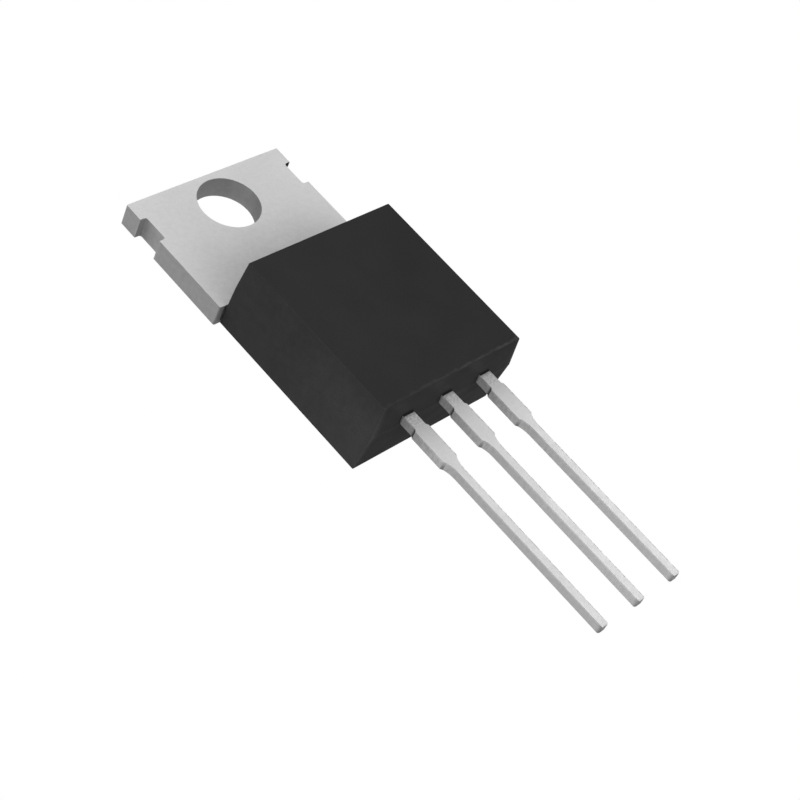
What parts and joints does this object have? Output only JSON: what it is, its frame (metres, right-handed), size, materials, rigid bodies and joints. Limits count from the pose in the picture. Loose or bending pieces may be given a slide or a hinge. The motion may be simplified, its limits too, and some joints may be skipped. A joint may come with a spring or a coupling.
{
  "type": "power mosfet",
  "caption": "Power transistor in a moulded block with a drilled metal mounting tab at one end and flat solder leads in a row at the other.",
  "frame": {"origin": "centre of the mounting hole on the back face of the tab", "axes": "+Z out of the front face, -Y along the leads to their tips, X across the leads with the gate lead at -X"},
  "size_m": [0.0096, 0.0296, 0.0044],
  "materials": {
    "epoxy": "matt moulded epoxy",
    "tinned_copper": "matt tin plating on copper",
    "solder": "dull soft solder",
    "silicon": "polished silicon",
    "bond_wire": "drawn wire"
  },
  "bodies": {
    "root": {"moulded_body": "epoxy", "drain_leadframe": "tinned_copper", "gate_lead": "tinned_copper", "source_lead": "tinned_copper", "solder_layer": "solder", "silicon_die": "silicon", "gate_wire": "bond_wire", "source_wire_1": "bond_wire", "source_wire_2": "bond_wire"}
  },
  "joints": []
}
